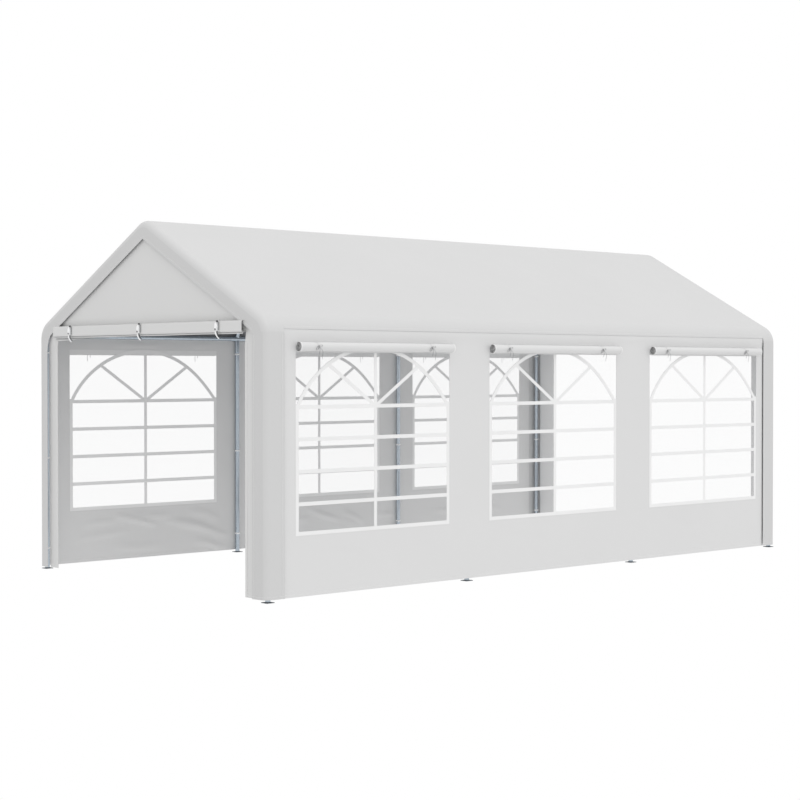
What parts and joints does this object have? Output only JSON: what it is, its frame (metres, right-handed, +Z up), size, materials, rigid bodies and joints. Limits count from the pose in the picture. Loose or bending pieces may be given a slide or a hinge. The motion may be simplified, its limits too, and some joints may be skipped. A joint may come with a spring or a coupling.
{
  "type": "party tent with roll-up window flaps",
  "caption": "Rectangular steel-framed party tent with a gabled fabric roof, arched film windows under rolled flaps, and an open doorway in each gable.",
  "frame": {"origin": "centre of the footprint, on the ground", "axes": "+X across the tent, to the right of someone facing the front gable from outside; +Y along the tent, from the front gable to the back one; +Z up"},
  "size_m": [3.1526, 6.04, 2.786],
  "materials": {
    "frame_steel": "galvanised tube, satin",
    "tent_fabric": "coated white fabric, slight sheen",
    "window_film": "clear flexible film"
  },
  "bodies": {
    "root": {"corner_cover_back_left": "tent_fabric", "corner_cover_back_right": "tent_fabric", "corner_cover_front_left": "tent_fabric", "corner_cover_front_right": "tent_fabric", "door_roll_back": "tent_fabric", "door_roll_front": "tent_fabric", "eave_bar_left_1": "frame_steel", "eave_bar_left_2": "frame_steel", "eave_bar_left_3": "frame_steel", "eave_bar_right_1": "frame_steel", "eave_bar_right_2": "frame_steel", "eave_bar_right_3": "frame_steel", "end_panel_back": "tent_fabric", "end_panel_front": "tent_fabric", "post_2_left": "frame_steel", "post_2_right": "frame_steel", "post_3_left": "frame_steel", "post_3_right": "frame_steel", "post_back_left": "frame_steel", "post_back_right": "frame_steel", "post_front_left": "frame_steel", "post_front_right": "frame_steel", "ridge_bar_1": "frame_steel", "ridge_bar_2": "frame_steel", "ridge_bar_3": "frame_steel", "roof_cover": "tent_fabric", "roof_frame_2": "frame_steel", "roof_frame_3": "frame_steel", "roof_frame_back": "frame_steel", "roof_frame_front": "frame_steel", "side_wall_left": "tent_fabric", "side_wall_right": "tent_fabric", "window_flap_left_1": "tent_fabric", "window_flap_left_2": "tent_fabric", "window_flap_left_3": "tent_fabric", "window_flap_right_1": "tent_fabric", "window_flap_right_2": "tent_fabric", "window_flap_right_3": "tent_fabric", "window_left_1": "window_film", "window_left_2": "window_film", "window_left_3": "window_film", "window_right_1": "window_film", "window_right_2": "window_film", "window_right_3": "window_film"}
  },
  "joints": []
}
